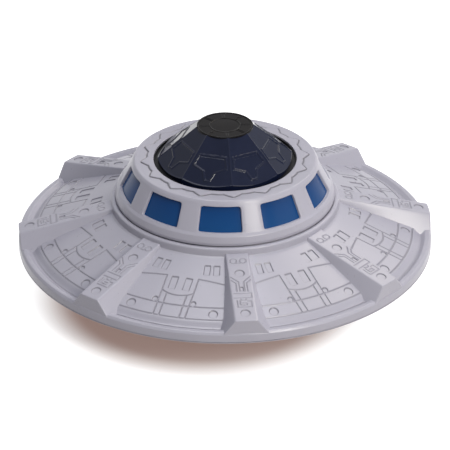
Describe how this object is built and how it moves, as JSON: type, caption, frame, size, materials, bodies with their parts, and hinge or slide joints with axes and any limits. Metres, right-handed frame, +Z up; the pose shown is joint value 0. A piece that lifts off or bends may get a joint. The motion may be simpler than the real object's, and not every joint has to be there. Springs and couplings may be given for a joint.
{
  "type": "toy flying saucer",
  "caption": "Battery toy saucer: ribbed disc on a swivelling drive carriage, with a turning windowed turret, smoked faceted dome, battery bay and slide switch.",
  "frame": {"origin": "on the floor, under the centre of the disc", "axes": "+Z up along the disc's axis; one of the eight ribs, the front one, points along -Y"},
  "size_m": [0.3, 0.3, 0.1219],
  "materials": {
    "shell_plastic": "light grey moulded ABS, fine spark-eroded texture",
    "dark_plastic": "black moulded plastic, satin",
    "smoked_plastic": "smoked near-black styrene, polished",
    "blue_window": "deep blue tinted styrene, polished",
    "tyre_rubber": "black rubber, dull",
    "steel": "plated steel",
    "gear_nylon": "natural nylon, satin",
    "board_laminate": "green board laminate",
    "motor_can": "plated motor can",
    "battery_sleeve": "plain dark sleeve",
    "lamp_lens": "clear lamp body",
    "contact_steel": "nickel-plated spring strip"
  },
  "bodies": {
    "hull": {"upper_hull": "shell_plastic", "lower_hull": "shell_plastic", "battery_door": "shell_plastic", "door_screw": "steel", "hull_screw_1": "steel", "hull_screw_2": "steel", "hull_screw_3": "steel", "hull_screw_4": "steel", "battery_1": "battery_sleeve", "battery_2": "battery_sleeve", "battery_3": "battery_sleeve", "battery_4": "battery_sleeve", "contact_front": "contact_steel", "contact_rear": "contact_steel", "speaker": "dark_plastic", "main_board": "board_laminate", "switch_body": "dark_plastic", "turret_post": "dark_plastic", "light_board": "board_laminate", "led_1": "lamp_lens", "led_2": "lamp_lens", "led_3": "lamp_lens", "spin_gearbox": "dark_plastic", "spin_motor": "motor_can"},
    "turret": {"turret_shell": "shell_plastic", "window_band": "blue_window", "dome_bezel": "dark_plastic", "dome": "smoked_plastic", "turret_carrier": "dark_plastic", "turret_gear": "gear_nylon", "turret_screw_1": "steel", "turret_screw_2": "steel", "turret_screw_3": "steel"},
    "spin_pinion": {"spin_pinion": "gear_nylon"},
    "carriage": {"carriage_housing": "dark_plastic", "carriage_cover": "dark_plastic", "carriage_washer": "steel", "pivot_screw": "steel", "cover_screw_1": "steel", "cover_screw_2": "steel", "gearbox_plate_inner": "gear_nylon", "gearbox_plate_outer": "gear_nylon", "drive_motor": "motor_can"},
    "drive_axle": {"drive_axle": "steel", "drive_wheel_left": "dark_plastic", "drive_wheel_right": "dark_plastic", "drive_tyre_left": "tyre_rubber", "drive_tyre_right": "tyre_rubber", "axle_gear": "gear_nylon"},
    "idler": {"idler_gear": "gear_nylon"},
    "drive_pinion": {"drive_pinion": "gear_nylon"},
    "rear_axle": {"rear_axle": "steel", "rear_wheel_left": "dark_plastic", "rear_wheel_right": "dark_plastic", "rear_tyre_left": "tyre_rubber", "rear_tyre_right": "tyre_rubber"},
    "switch_knob": {"switch_knob": "dark_plastic"}
  },
  "joints": [
    {"name": "turret_spin", "type": "hinge", "parent": "hull", "child": "turret", "pos_m": [0, 0, 0.0662], "axis": [0, 0, 1], "continuous": true},
    {"name": "spin_pinion_turn", "type": "hinge", "parent": "hull", "child": "spin_pinion", "pos_m": [-0.03248, -0.01875, 0.062], "axis": [0, 0, 1], "continuous": true},
    {"name": "carriage_swivel", "type": "hinge", "parent": "hull", "child": "carriage", "pos_m": [0, -0.05, 0.041], "axis": [0, 0, 1], "continuous": true},
    {"name": "drive_axle_spin", "type": "hinge", "parent": "carriage", "child": "drive_axle", "pos_m": [0, -0.05, 0.014], "axis": [1, 0, 0], "continuous": true},
    {"name": "idler_turn", "type": "hinge", "parent": "carriage", "child": "idler", "pos_m": [0, -0.045, 0.02266], "axis": [1, 0, 0], "continuous": true},
    {"name": "drive_pinion_turn", "type": "hinge", "parent": "carriage", "child": "drive_pinion", "pos_m": [0, -0.053, 0.02866], "axis": [1, 0, 0], "continuous": true},
    {"name": "rear_axle_spin", "type": "hinge", "parent": "hull", "child": "rear_axle", "pos_m": [0, 0.062, 0.011], "axis": [1, 0, 0], "continuous": true},
    {"name": "power_switch_slide", "type": "slide", "parent": "hull", "child": "switch_knob", "axis": [0, 1, 0], "range_m": [0, 0.005]}
  ],
  "couplings": [
    {"joint": "spin_pinion_turn", "follows": "turret_spin", "ratio": -4},
    {"joint": "idler_turn", "follows": "drive_axle_spin", "ratio": -3},
    {"joint": "drive_pinion_turn", "follows": "drive_axle_spin", "ratio": 9}
  ]
}
